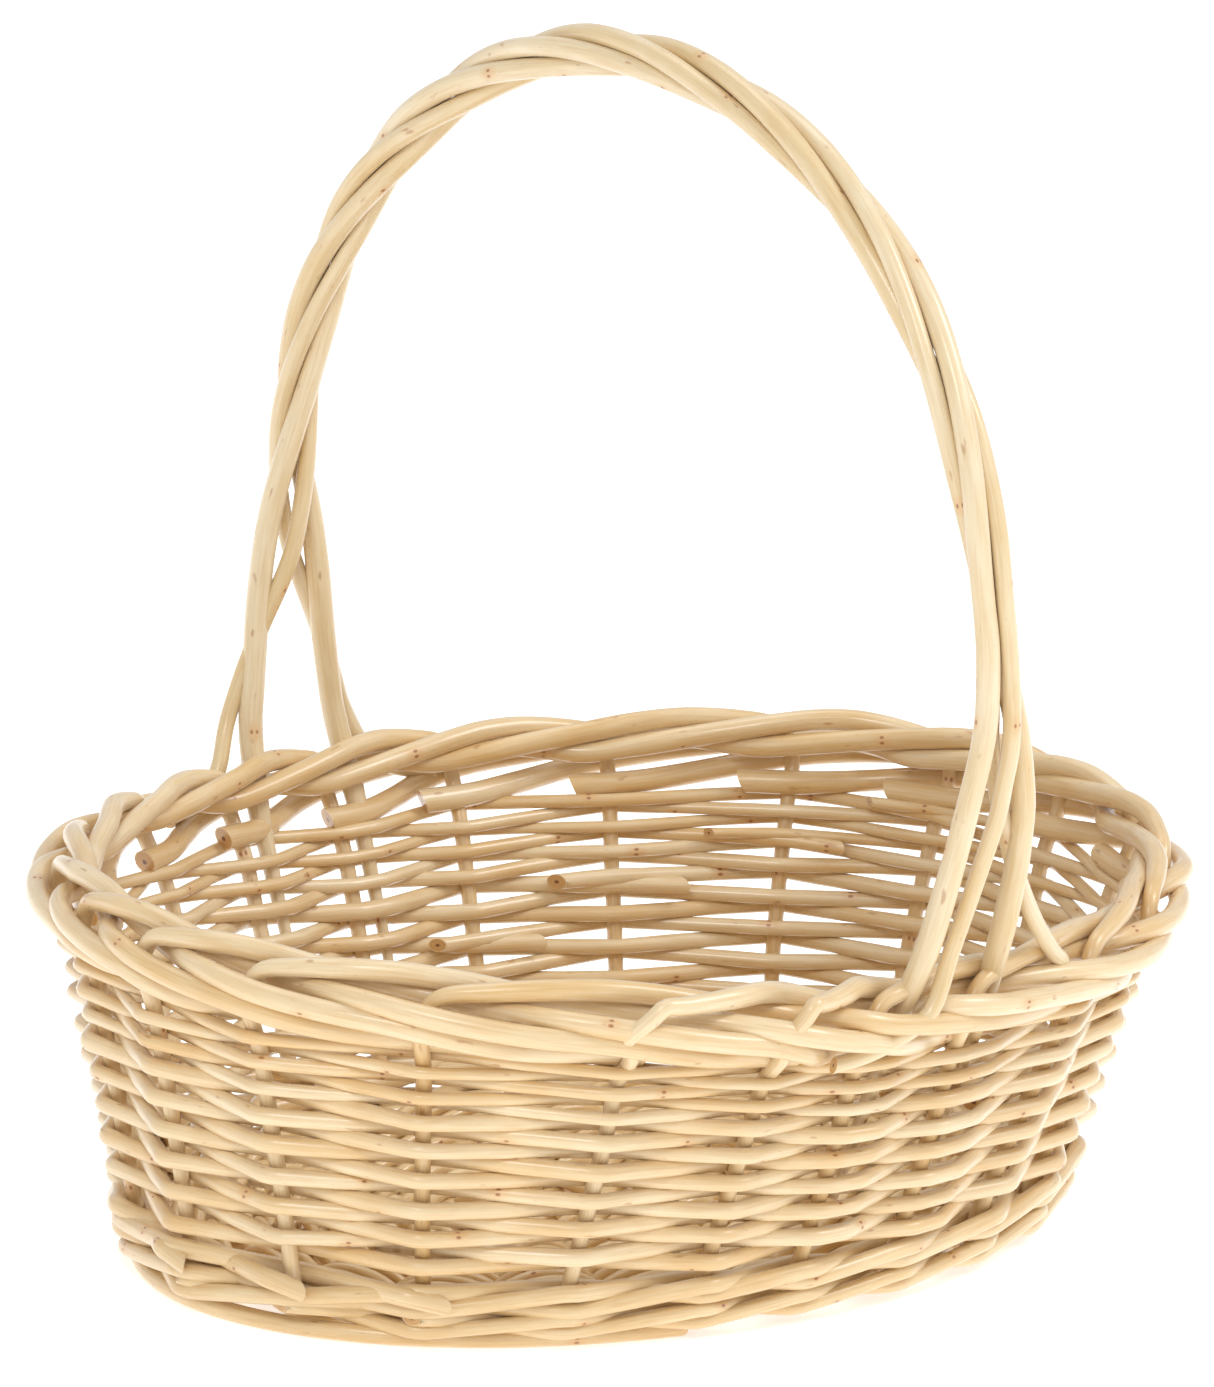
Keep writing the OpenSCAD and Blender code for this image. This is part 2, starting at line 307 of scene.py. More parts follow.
def make_rods(name, rods, material, nodes, sides=14, spacing=2.4, knuckles=0.05, wander=1.0, slant=0.5):
    """One piece from rods, each (way in mm, diameters in mm, closed). It stands for the CAD nodes."""
    curve = bpy.data.curves.new(name, "CURVE")
    curve.dimensions = "3D"
    for way, girths, closed in rods:
        spline = curve.splines.new("POLY")
        spline.points.add(len(way) - 1)
        spline.use_cyclic_u = closed
        for point, p, d in zip(spline.points, way, girths):
            point.co = (*(settle(p) * MM), 1.0)
            point.radius = d / 2 * MM
    piece = bpy.data.objects.new(name, curve)
    bpy.context.scene.collection.objects.link(piece)
    mod = piece.modifiers.new("rod", "NODES")
    mod.node_group = ROD_TREE
    values = {"Sides": sides, "Ring Spacing": spacing * MM, "Knuckles": knuckles, "Wander": wander * MM,
              "Slant": slant, "Seed": sum(map(ord, name)), "Material": material}
    for item in ROD_TREE.interface.items_tree:
        if item.in_out == "INPUT" and item.name in values:
            mod[item.identifier] = values[item.name]
    bpy.context.view_layer.update()
    dg = bpy.context.evaluated_depsgraph_get()
    mesh = bpy.data.meshes.new_from_object(piece.evaluated_get(dg), depsgraph=dg)
    bpy.data.objects.remove(piece)
    bpy.data.curves.remove(curve)
    piece = bpy.data.objects.new(name, mesh)
    bpy.context.scene.collection.objects.link(piece)
    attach(piece, "root")
    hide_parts(*nodes)
    return piece


# ---- finishes ----


SCAR_EVERY, SCAR_LONG, SCAR_WIDE = 0.046, 0.0009, 0.0006
RING_GAP = 0.0007


def peeled_willow(name, pale, buff, warm, scars=0.75, roughness=0.46):
    """Peeled willow rod: a smooth pale satin skin with fine lengthwise grain, broad soft stains and a pair of
    brown bud scars every few centimetres, and a duller cut end with growth rings round a dark pith."""
    material = bpy.data.materials.new(name)
    material.use_nodes = True
    tree = material.node_tree
    tree.nodes.clear()
    rod = add(tree, "ShaderNodeAttribute", attribute_name="rod")
    tint = add(tree, "ShaderNodeAttribute", attribute_name="tint")
    girth = add(tree, "ShaderNodeAttribute", attribute_name="girth")
    xyz = add(tree, "ShaderNodeSeparateXYZ", {0: rod.outputs["Vector"]})
    # grain: streaks 0.8 mm wide and 20 mm long, coarser than the real fibre so that it shows
    grain_at = add(
        tree, "ShaderNodeMapping", {"Vector": rod.outputs["Vector"], "Scale": (50.0, 1250.0, 1250.0)},
    )
    grain = add(
        tree, "ShaderNodeTexNoise", {"Vector": grain_at, "Scale": 1.0, "Detail": 3.0, "Roughness": 0.6},
    )
    # stains: 25 mm long and 6 mm wide
    stain_at = add(
        tree, "ShaderNodeMapping", {"Vector": rod.outputs["Vector"], "Scale": (40.0, 160.0, 160.0)},
    )
    stain = add(
        tree, "ShaderNodeTexNoise", {"Vector": stain_at, "Scale": 1.0, "Detail": 2.5, "Roughness": 0.55},
    )
    tinted = add(
        tree, "ShaderNodeMath", {0: tint.outputs["Fac"], 1: 0.42, 2: stain.outputs["Fac"]},
        operation="MULTIPLY_ADD",
    )
    depth = add(
        tree, "ShaderNodeMapRange",
        {"Value": tinted, "From Min": 0.42, "From Max": 1.05, "To Min": 0.0, "To Max": 1.0},
    )
    skin = add(
        tree, "ShaderNodeMix", {"Factor": depth.outputs[0], 6: srgb(pale), 7: srgb(buff)}, data_type="RGBA",
    )
    streak = add(
        tree, "ShaderNodeMapRange",
        {"Value": grain.outputs["Fac"], "From Min": 0.45, "From Max": 0.8, "To Min": 0.0, "To Max": 0.38},
    )
    skin = add(
        tree, "ShaderNodeMix", {"Factor": streak.outputs[0], 6: skin.outputs[2], 7: srgb(warm)},
        data_type="RGBA",
    )
    # bud scars: a pair of 1 mm pits in each 46 mm of rod, at a chance place round it
    cell_at = add(tree, "ShaderNodeMath", {0: xyz.outputs[0], 1: 1 / SCAR_EVERY}, operation="MULTIPLY")
    cell = add(tree, "ShaderNodeMath", {0: cell_at}, operation="FLOOR")
    lot = add(tree, "ShaderNodeTexWhiteNoise", {"W": cell}, noise_dimensions="1D")
    lots = add(tree, "ShaderNodeSeparateColor", {0: lot.outputs["Color"]})
    inside = add(tree, "ShaderNodeMath", {0: cell_at}, operation="FRACT")
    place = add(tree, "ShaderNodeMapRange", {"Value": lots.outputs[0], "To Min": 0.2, "To Max": 0.8})
    off_along = add(tree, "ShaderNodeMath", {0: inside, 1: place}, operation="SUBTRACT")
    off_along = add(tree, "ShaderNodeMath", {0: off_along, 1: SCAR_EVERY / SCAR_LONG}, operation="MULTIPLY")
    turn = add(tree, "ShaderNodeMath", {0: lots.outputs[1], 1: 2 * math.pi}, operation="MULTIPLY")
    angle = add(tree, "ShaderNodeMath", {0: xyz.outputs[2], 1: xyz.outputs[1]}, operation="ARCTAN2")
    off_turn = add(tree, "ShaderNodeMath", {0: angle, 1: turn}, operation="SUBTRACT")
    off_turn = add(tree, "ShaderNodeMath", {0: off_turn, 1: math.pi, 2: -math.pi}, operation="WRAP")
    off_across = add(tree, "ShaderNodeMath", {0: off_turn, 1: girth.outputs["Fac"]}, operation="MULTIPLY")
    off_across = add(tree, "ShaderNodeMath", {0: off_across, 1: 1 / SCAR_WIDE}, operation="MULTIPLY")
    around = add(tree, "ShaderNodeCombineXYZ", {0: off_along, 1: off_across})
    around = add(tree, "ShaderNodeVectorMath", {0: around}, operation="LENGTH")
    off_pair = add(tree, "ShaderNodeMath", {0: off_across}, operation="ABSOLUTE")
    off_pair = add(tree, "ShaderNodeMath", {0: off_pair, 1: 1.6}, operation="SUBTRACT")
    away = add(tree, "ShaderNodeCombineXYZ", {0: off_along, 1: off_pair})
    away = add(tree, "ShaderNodeVectorMath", {0: away}, operation="LENGTH")
    rough_edge = add(
        tree, "ShaderNodeMath", {0: stain.outputs["Fac"], 1: 0.8, 2: away.outputs["Value"]},
        operation="MULTIPLY_ADD",
    )
    scar = add(
        tree, "ShaderNodeMapRange",
        {"Value": rough_edge, "From Min": 0.8, "From Max": 1.7, "To Min": 1.0, "To Max": 0.0},
        interpolation_type="SMOOTHSTEP",
    )
    seen = add(tree, "ShaderNodeMath", {0: lots.outputs[2], 1: 1 - scars}, operation="GREATER_THAN")
    scar = add(tree, "ShaderNodeMath", {0: scar, 1: seen}, operation="MULTIPLY")
    halo = add(
        tree, "ShaderNodeMapRange",
        {"Value": around.outputs["Value"], "From Min": 1.5, "From Max": 5.5, "To Min": 0.5, "To Max": 0.0},
        interpolation_type="SMOOTHSTEP",
    )
    halo = add(tree, "ShaderNodeMath", {0: halo, 1: seen}, operation="MULTIPLY")
    skin = add(
        tree, "ShaderNodeMix", {"Factor": halo, 6: skin.outputs[2], 7: srgb("DDAE74")}, data_type="RGBA",
    )
    dark = add(tree, "ShaderNodeMath", {0: scar, 1: 0.85}, operation="MULTIPLY")
    skin = add(
        tree, "ShaderNodeMix", {"Factor": dark, 6: skin.outputs[2], 7: srgb("9C5A26")}, data_type="RGBA",
    )
    # dust in the grain: small brown flecks, one or two to the centimetre
    fleck_at = add(
        tree, "ShaderNodeMapping", {"Vector": rod.outputs["Vector"], "Scale": (130.0, 420.0, 420.0)},
    )
    fleck = add(tree, "ShaderNodeTexNoise", {"Vector": fleck_at, "Scale": 1.0, "Detail": 1.0})
    fleck = add(
        tree, "ShaderNodeMapRange",
        {"Value": fleck.outputs["Fac"], "From Min": 0.71, "From Max": 0.79, "To Min": 0.0, "To Max": 0.55},
    )
    skin = add(
        tree, "ShaderNodeMix", {"Factor": fleck.outputs[0], 6: skin.outputs[2], 7: srgb("A9703A")},
        data_type="RGBA",
    )
    # cut end: rings 0.7 mm apart round a pith 1 mm across
    from_pith = add(tree, "ShaderNodeCombineXYZ", {0: xyz.outputs[1], 1: xyz.outputs[2]})
    from_pith = add(tree, "ShaderNodeVectorMath", {0: from_pith}, operation="LENGTH")
    share = add(
        tree, "ShaderNodeMath", {0: from_pith.outputs["Value"], 1: girth.outputs["Fac"]},
        operation="DIVIDE",
    )
    cut = add(
        tree, "ShaderNodeMapRange",
        {"Value": share, "From Min": 0.93, "From Max": 0.86, "To Min": 0.0, "To Max": 1.0},
    )
    wave = add(
        tree, "ShaderNodeMath", {0: from_pith.outputs["Value"], 1: 2 * math.pi / RING_GAP},
        operation="MULTIPLY",
    )
    wave = add(tree, "ShaderNodeMath", {0: wave}, operation="SINE")
    wave = add(
        tree, "ShaderNodeMapRange",
        {"Value": wave, "From Min": -1.0, "From Max": 1.0, "To Min": 0.15, "To Max": 0.6},
    )
    end_wood = add(
        tree, "ShaderNodeMix", {"Factor": wave.outputs[0], 6: srgb("DBB274"), 7: srgb("A8743A")},
        data_type="RGBA",
    )
    pith = add(
        tree, "ShaderNodeMapRange",
        {"Value": share, "From Min": 0.26, "From Max": 0.16, "To Min": 0.0, "To Max": 1.0},
    )
    end_wood = add(
        tree, "ShaderNodeMix", {"Factor": pith.outputs[0], 6: end_wood.outputs[2], 7: srgb("74451C")},
        data_type="RGBA",
    )
    colour = add(
        tree, "ShaderNodeMix", {"Factor": cut.outputs[0], 6: skin.outputs[2], 7: end_wood.outputs[2]},
        data_type="RGBA",
    )
    sheen = add(
        tree, "ShaderNodeMapRange",
        {
            "Value": grain.outputs["Fac"], "From Min": 0.3, "From Max": 0.7, "To Min": roughness - 0.05,
            "To Max": roughness + 0.06,
        },
    )
    dull = add(tree, "ShaderNodeMath", {0: cut.outputs[0], 1: 0.3, 2: sheen}, operation="MULTIPLY_ADD")
    pit = add(tree, "ShaderNodeMath", {0: scar, 1: -0.6, 2: halo}, operation="MULTIPLY_ADD")
    relief = add(
        tree, "ShaderNodeMath", {0: grain.outputs["Fac"], 1: 0.16, 2: pit}, operation="MULTIPLY_ADD",
    )
    bump = add(tree, "ShaderNodeBump", {"Height": relief, "Strength": 0.5, "Distance": 0.0003})
    shader = add(
        tree, "ShaderNodeBsdfPrincipled",
        {
            "Base Color": colour.outputs[2], "Roughness": dull, "Normal": bump, "IOR": 1.5,
            "Coat Weight": 1.0, "Coat Roughness": 0.24, "Sheen Weight": 0.15, "Sheen Roughness": 0.4,
        },
    )
    add(tree, "ShaderNodeOutputMaterial", {"Surface": shader})
    return material


SIDING_WILLOW = peeled_willow("peeled_willow_siding", "EBD7B1", "DFBB81", "C08A42")
STAKE_WILLOW = peeled_willow("peeled_willow_stakes", "EAD5AE", "DDB97E", "BF8840")
WALE_WILLOW = peeled_willow("peeled_willow_wale", "E8D1A6", "D7B274", "B98039")
HANDLE_WILLOW = peeled_willow("peeled_willow_handle", "EAD9B7", "DCC08C", "C59652", scars=0.85)
STICK_WILLOW = peeled_willow("peeled_willow_base_sticks", "E2C590", "CFA768", "AE7A3C", roughness=0.6)
BASE_WILLOW = peeled_willow("peeled_willow_base_weaving", "E8CD9A", "D3AC6C", "B58242", roughness=0.5)

# ---- stakes and the border that they turn down into ----

# A border strand's way: bays travelled, offset outwards, height over the rim line
BORDER_WAY = [
    (0, 0, -9), (0.03, 0, -3), (0.1, -0.2, 1), (0.3, -1, 3.4), (0.6, -2.5, 5), (0.85, -5, 5),
    (1.1, -7.2, 3.6), (1.5, -8, 0.4), (1.9, -8.2, -2.4), (2.2, -6.5, -4.2), (2.5, 0, -3.4),
    (2.8, 5.6, -3.8), (3.1, 7.6, -5.6), (3.5, 7.4, -7.8), (3.9, 5.4, -10), (4.2, 3, -12.6),
    (4.5, -2, -15), (4.8, -7, -16), (5.2, -8.4, -16),
]
BORDER_TRAVEL = 5.2
BUTT_FROM, BUTT_OVER = 3.8, 1.4          # where a strand starts to thicken to its butt, and over how far

# A stake that cracked as it was folded starts its way so: out over its neighbours, and sharply back
CRACKED_WAY = [
    (0, 0, -14), (-0.05, 3, -9.5), (-0.03, 8, -5), (0.07, 9.6, 1), (0.13, 9.8, 4.6), (0.15, 9.4, 5),
    (0.3, 6.5, 4.6), (0.6, 2, 5.4), (0.85, -3, 5.6),
]
CRACKED = (8, 9)
SHARED_WAY = 6                           # from this point on it goes as the others do
TIGHT_END = 0.4                          # the strands lie closer in round the oval's ends

STAKE_ROOT = 0.13                        # bays from a stake to the base stick that its foot lies beside
UPRIGHT_HEIGHTS = (18, 36, 55, 75, 95)


def border_point(stake, step, off, rise):
    if off > 0:
        off *= 1 - TIGHT_END * math.cos(bay_angle(stake + step, 1)) ** 4
    return wall(stake + step, RIM_HEIGHT, off) + Vector((0, 0, rise))


def stake_rod(i):
    points = [
        wall(i + STAKE_ROOT, BASE_Z, -26), wall(i + STAKE_ROOT, BASE_Z, -7),
        wall(i + STAKE_ROOT / 2, BASE_Z + 0.6, -3), wall(i, BASE_Z + 3.6, -0.6),
    ]
    points += [wall(i, z) for z in UPRIGHT_HEIGHTS]
    girths = [STAKE_D] * len(points)
    bulge = chance.uniform(0.9, 1.2)
    lift = chance.uniform(-0.6, 1.2)
    run_out = chance.uniform(-0.25, 0.3)
    border = CRACKED_WAY + BORDER_WAY[SHARED_WAY:] if i in CRACKED else BORDER_WAY
    for step, off, rise in border:
        late = smooth((step - BUTT_FROM) / BUTT_OVER)
        arch = lift * math.sin(math.pi * clamp(step / BORDER_TRAVEL))
        points.append(border_point(i, step + run_out * late, off * bulge, rise + arch))
        girths.append(mix(STAKE_D, BORDER_D, smooth((step + 0.1) / 0.8)) + (BUTT_D - BORDER_D) * late)
    per = 6
    way = through(points, per)
    fine = []
    for a, b in zip(girths, girths[1:]):
        fine += [mix(a, b, j / per) for j in range(per)]
    return way, fine + [girths[-1]], False


for i in range(STAKES):
    make_rods(
        f"willow_stake_{i + 1}", [stake_rod(i)], STAKE_WILLOW, [f"stake_{i + 1}"], sides=16,
        spacing=2.0, wander=1.3, knuckles=0.04,
    )

# ---- siding ----


STAKE_PASS, LEG_PASS = 0.03, 0.25


def leg_wide(m, before):
    """Part of a bay that a siding rod runs straight past stake m, wider beside a handle leg."""
    near = (m % STAKES in (0, STAKES - 1)) if before else (m % STAKES in (STAKES // 2 - 1, STAKES // 2))
    return LEG_PASS if near else STAKE_PASS


def strung(keys, per=7, give=0.25):
    """A rod's way through keys (bay, height, offset): nearly straight from stake to stake, giving a little to
    the wall's curve."""
    way = []
    for (u0, z0, s0), (u1, z1, s1) in zip(keys, keys[1:]):
        a, b = wall(u0, z0, s0), wall(u1, z1, s1)
        for j in range(per):
            f = j / per
            way.append(a.lerp(b, f).lerp(wall(mix(u0, u1, f), mix(z0, z1, f), mix(s0, s1, f)), give))
    return way + [wall(*keys[-1])]


# The lower rows are thick and open; the last ones are thin tips, beaten down close under the border
LOW_ROWS, LOW_PITCH, HIGH_PITCH = 10, 5.0, 4.0
THICK_BUTT, THICK_TIP = (5.5, 6.1), (4.9, 5.4)
THIN_BUTT, THIN_TIP = 4.7, 3.8
LAP = 0.42                               # bays that a row's ends run on inside, past the stakes they rest on


def weaver_rod(row):
    first = (row * 7) % STAKES
    start = first + (first + row) % 2
    thin = smooth((row - LOW_ROWS + 1) / 3)
    z = WEAVER_Z + LOW_PITCH * min(row, LOW_ROWS) + HIGH_PITCH * max(0, row - LOW_ROWS)
    d0 = mix(chance.uniform(*THICK_BUTT), THIN_BUTT, thin)
    d1 = mix(chance.uniform(*THICK_TIP), THIN_TIP, thin)
    amp = (STAKE_D + (d0 + d1) / 2) / 2 - 0.1
    end = start + STAKES
    keys = [(start - LAP, z - 1.6, -amp - 2.0)]
    for m in range(start, end + 1):
        side = (-amp if (m + row) % 2 == 0 else amp) * chance.uniform(0.95, 1.15)
        side -= 1.2 if m == end else 0
        high = z + chance.uniform(-0.5, 0.5) + (1.6 if m == end else 0) - (0.8 if m == start else 0)
        keys += [(m - leg_wide(m, True), high, side), (m + leg_wide(m, False), high, side)]
    keys.append((end + LAP, z + 1.8, -amp - 3.5))
    way = strung(keys)
    last = len(way) - 1
    return way, [mix(d0, d1, n / last) for n in range(last + 1)], False


for row in range(ROWS):
    make_rods(
        f"siding_rod_{row + 1}", [weaver_rod(row)], SIDING_WILLOW, [f"weaver_{row + 1}"],
        sides=12, spacing=2.2, wander=0.7, knuckles=0.07, slant=0.9,
    )

# ---- wale: three rods, each outside two stakes and inside the third ----

WALE_AMP = (STAKE_D + WALE_D) / 2
WALE_Z, WALE_STEP = 8.6, 10.2
WALE_END = 7
WALE_TURNS = 2
WALE_STAGES = [(WALE_AMP, -2.2), (WALE_AMP + 0.6, 2.4), (-WALE_AMP, 0.4)]    # at three stakes: offset, rise
WALE_PASS = 0.05
WALE_TIP_D, WALE_BUTT_D = 5.0, 6.4


def wale_rod(j):
    """A wale rod goes round and up, and comes from behind stake 6 - j to a cut end outside stake 7 - j."""
    steps = WALE_TURNS * STAKES
    keys = []
    for n in range(steps):
        bay = WALE_END - j - steps + n
        side, rise = WALE_STAGES[(n - steps) % 3]
        z = WALE_Z + WALE_STEP * smooth((n - STAKES + 3) / 6) + rise
        keys += [(bay - WALE_PASS, z, side), (bay + WALE_PASS, z, side)]
    end = WALE_END - j
    keys += [(end - 0.1, 19.5, WALE_AMP + 2.6), (end + 0.14, 17.5, WALE_AMP + 3.4)]
    way = strung(keys)
    last = len(way) - 1
    return way, [mix(WALE_TIP_D, WALE_BUTT_D, n / last) for n in range(last + 1)], False


for j in range(3):
    make_rods(
        f"wale_strand_{j + 1}", [wale_rod(j)], WALE_WILLOW, [f"wale_rod_{j + 1}"], sides=14,
        spacing=2.6, wander=0.7, knuckles=0.05, slant=1.3,
    )

# The foot rod starts under the base near the +X end, goes round the back and ends cut at the front
FOOT_START, FOOT_END = 12.6, STAKES + 8.9
FOOT_OUT, FOOT_TUCK, TUCK_OVER = 2.5, 11, 1.6
FOOT_THIN_D = 5.8
FOOT_STEPS = 120


def foot_rod():
    way, girths = [], []
    for n in range(FOOT_STEPS + 1):
        u = mix(FOOT_START, FOOT_END, n / FOOT_STEPS)
        p = wall(u, 0, FOOT_OUT - FOOT_TUCK * smooth((FOOT_START + TUCK_OVER - u) / TUCK_OVER))
        p.z = FOOT_D / 2
        way.append(p)
        girths.append(mix(FOOT_D, FOOT_THIN_D, n / FOOT_STEPS))
    return way, girths, False


make_rods(
    "foot_rod_round", [foot_rod()], WALE_WILLOW, ["foot_rod"], sides=16, spacing=2.6, wander=0.0,
    knuckles=0.0, slant=0.9,
)

# ---- base ----

CROSS_STICKS = 8
CROSS_GAP = 19.0
LONG_GAP = 9.0
SPOKES = 2 * CROSS_STICKS + 6
SLATH_HALF = (CROSS_STICKS - 1) / 2 * CROSS_GAP
STICK_SHORT = 9                          # how far a stick's end stops inside the oval
SLATH_END, CROSS_ROOT = 9, 17            # where the sticks start to spread: past the slath, and beside it
LONG_D, CROSS_D, SPLIT_D = 6.8, 7.6, 4.2
SPLIT_NEAR, SPLIT_APART = 1.5, 5.4       # a split's halves from the stick's middle: at its ends, and midway
SPLIT_STEPS = 20


def spoke_end(j):
    even = math.radians(360 * j / SPOKES)
    t = even + math.radians(BASE_SHIFT) * math.sin(2 * even)
    return Vector(
        ((BASE_LENGTH - STICK_SHORT) * math.cos(t), (BASE_WIDTH - STICK_SHORT) * math.sin(t), BASE_Z)
    )


def spoke_root(j):
    half = SPOKES // 2
    m = (j + half) % SPOKES - half
    if abs(m) <= 1:
        return Vector((SLATH_HALF + SLATH_END, m * LONG_GAP, BASE_Z))
    if abs(m) >= half - 1:
        n = half - m if m > 0 else -half - m
        return Vector((-SLATH_HALF - SLATH_END, n * LONG_GAP, BASE_Z))
    n = CROSS_STICKS - abs(m) + 1 - (CROSS_STICKS - 1) / 2
    return Vector((n * CROSS_GAP, math.copysign(CROSS_ROOT, m), BASE_Z))


for j in (-1, 0, 1):
    right, left = j % SPOKES, SPOKES // 2 - j
    points = [
        spoke_end(left), spoke_root(left), Vector((0, j * LONG_GAP, BASE_Z)), spoke_root(right),
        spoke_end(right),
    ]
    way = through(points, 12)
    make_rods(
        f"long_stick_{j + 2}", [(way, [LONG_D] * len(way), False)], STICK_WILLOW,
        [f"base_long_stick_{j + 2}"], sides=16, wander=0.5,
    )

for j in range(CROSS_STICKS):
    top = CROSS_STICKS + 1 - j
    bottom = SPOKES - top
    root_a, root_b = spoke_root(bottom), spoke_root(top)
    rods = []
    for root, end in ((root_a, spoke_end(bottom)), (root_b, spoke_end(top))):
        inner = root + (Vector((root.x, 0, BASE_Z)) - root) * 0.1
        way = through([inner, mix(root, end, 0.12), mix(root, end, 0.5), end], 8)
        rods.append((way, [CROSS_D] * len(way), False))
    for lift in (-1, 1):
        way = []
        for k in range(SPLIT_STEPS + 1):
            f = k / SPLIT_STEPS
            p = mix(root_a, root_b, f)
            p.z += lift * mix(SPLIT_NEAR, SPLIT_APART, smooth(min(f, 1 - f) / 0.22))
            way.append(p)
        rods.append((way, [SPLIT_D] * len(way), False))
    make_rods(
        f"cross_stick_{j + 1}", rods, STICK_WILLOW, [f"base_cross_stick_{j + 1}"], sides=14,
        wander=0.3,
    )

BASE_RINGS = 20
BASE_ROD_D, BASE_LIFT = 4.3, 5.7


def base_ring(k):
    f = mix(0.03, 1.0, k / (BASE_RINGS - 1))
    stops = [mix(spoke_root(j), spoke_end(j), f) for j in range(SPOKES)]
    per = 8
    ring = through([stops[-1]] + stops + stops[:2], per)[per:per * (SPOKES + 1)]
    for n, p in enumerate(ring):
        side = math.cos(math.pi * (n / per + k))
        p.z += BASE_LIFT * math.copysign(abs(side) ** 0.8, side)
    return ring, [BASE_ROD_D] * len(ring), True


for part in range(3):
    rings = [base_ring(k) for k in range(part, BASE_RINGS, 3)]
    make_rods(
        f"base_weaving_{part + 1}", rings, BASE_WILLOW, [f"base_weave_{part + 1}"],
        sides=10, spacing=3.0, wander=0.0, knuckles=0.04,
    )

# ---- handle: four tapering rods twisted into one hoop, two laid from each side ----

# Angle in the rope, place across the handle at the +Y foot and at the -Y foot,
# whether the thick end is at the +Y foot, and the way the tip turns along the border
HANDLE_RODS = [
    (0, -22, 48, True, 1), (180, 19, -9, True, -1), (270, -33, 22, False, -1), (90, 29, -17, False, 1),
]
# A tip's end at the +Y foot: along the border, offset outwards, height over the rim line
TIP_WAY = [(0, 5, 0), (5, 8, -7), (15, 9, -11), (27, 8, -13)]
# The same rods' ways down the -Y leg, where they part late and cross: height, place across, offset outwards
LEG_WAYS = [
    [(126, 41, 2), (138, 33, -1), (151, 26, -3), (176, 15, -4), (197, 8, -4), (230, 4, -3)],
    [(116, -9, 6), (130, -7, 5), (151, -1, 4), (176, 6, 4), (201, 9, 4), (224, 9, 3.5), (256, 8, 2)],
    [(111, 22, 0), (135, 21.5, 0), (157, 23, 0), (179, 21, 0), (205, 15, -1), (230, 7, -2)],
    [(105, -17, 0), (121, -16, 1), (148, -11.5, 2), (179, -7, 3), (205, -2, 3), (230, 0, 3), (260, -1, 3)],
]
# The tips' ends at the -Y foot, along the border: place across, offset outwards, height over the rim line
TIP_ENDS = {
    0: [(47, 3, 2), (53, 3, -2), (60, 1, -8), (68, -4, -14)],
    1: [(-13, 9, -6), (-24, 11, -12), (-36, 11.5, -17), (-46, 10, -20)],
}
LEG_HEIGHTS = (45, 70, 95, 108)          # a thick end's way up inside the wall
LEG_FREE, LEG_GATHER = 0.11, 0.13        # how far up the hoop the -Y leg's rods stay apart, and gather
THICK_GATHER, THIN_GATHER = 0.2, 0.13    # how far up it those of the +Y leg gather
THICK_OUT, THIN_OUT = 1, 6
HOOP_FIRST, HOOP_LAST, HOOP_STEPS = 0.02, 0.98, 60
SLYPE, SLYPE_STEPS = 0.35, 18            # a butt is cut to this part of its thickness at the point


def hoop(q):
    f = (q if q < 0.5 else 1 - q) / LEG_PART
    side = 1 if q < 0.5 else -1
    if f < 1:
        y = mix(RIM_WIDTH, HOOP_HALF_WIDTH, math.sin(math.pi / 2 * f))
        return Vector((0, side * y, mix(RIM_HEIGHT, HOOP_SPRING, f)))
    a = math.pi * (q - LEG_PART) / (1 - 2 * LEG_PART)
    return Vector((0, HOOP_HALF_WIDTH * math.cos(a), HOOP_SPRING + (HOOP_TOP - HOOP_SPRING) * math.sin(a)))


def hoop_normal(q):
    near = 0.002
    t = (hoop(min(1, q + near)) - hoop(max(0, q - near))).normalized()
    return Vector((0, t.z, -t.y))


def handle_point(q, j):
    """Where rod j of the handle lies at part q of the hoop, from the +Y foot."""
    turn, foot_y, _, thick_first, _ = HANDLE_RODS[j]
    a = math.radians(ROPE_START + turn - 360 * ROPE_TURNS * q - ROPE_HURRY * math.sin(math.pi * q))
    across, out = ROPE_RADIUS * math.sin(a), ROPE_RADIUS * math.cos(a)
    if q > 0.5:
        z = hoop(q).z
        leg = LEG_WAYS[j]
        blend = smooth((1 - q - LEG_FREE) / LEG_GATHER)
        across = mix(between([(h, x) for h, x, _ in leg], z), across, blend)
        out = mix(between([(h, off) for h, _, off in leg], z), out, blend)
    else:
        blend = smooth((q + HOOP_FIRST) / (THICK_GATHER if thick_first else THIN_GATHER))
        across = mix(foot_y, across, blend)
        out = mix(THICK_OUT if thick_first else THIN_OUT, out, blend)
    return hoop(q) + Vector((across, 0, 0)) + out * hoop_normal(q)


def beside(x, z, off, side):
    """A point on the wall's line beside the handle; side is 1 at the +Y foot."""
    k = z / RIM_HEIGHT
    a, b = mix(BASE_LENGTH, RIM_LENGTH, k), mix(BASE_WIDTH, RIM_WIDTH, k)
    return Vector((x, side * (b * math.sqrt(1 - (x / a) ** 2) + off), z))


